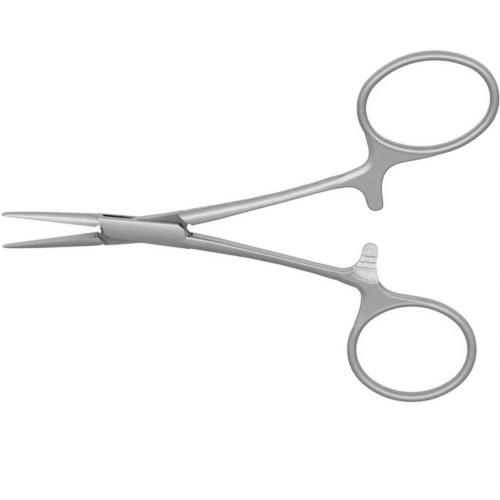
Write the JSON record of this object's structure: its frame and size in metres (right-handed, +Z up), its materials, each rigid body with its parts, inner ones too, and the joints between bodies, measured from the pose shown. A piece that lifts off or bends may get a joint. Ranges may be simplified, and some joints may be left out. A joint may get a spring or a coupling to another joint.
{
  "type": "hemostat forceps",
  "caption": "Small straight hemostat forceps: serrated jaws, box lock with riveted pin, ratchet arms and finger rings on slim shanks.",
  "frame": {"origin": "on the pin's axis, at the flat under the box lock that the instrument lies on", "axes": "+X along the instrument from the pin towards the finger rings, +Z up along the pin's axis"},
  "size_m": [0.0974, 0.073, 0.0036],
  "materials": {
    "steel": "satin stainless steel"
  },
  "bodies": {
    "box_body": {"box_half": "steel", "lock_pin": "steel"},
    "inner_body": {"inner_half": "steel"}
  },
  "joints": [
    {"name": "lock_hinge", "type": "hinge", "parent": "box_body", "child": "inner_body", "pos_m": [0, 0, 0.0018], "axis": [0, 0, 1], "range_deg": [-12.9, 45]}
  ]
}
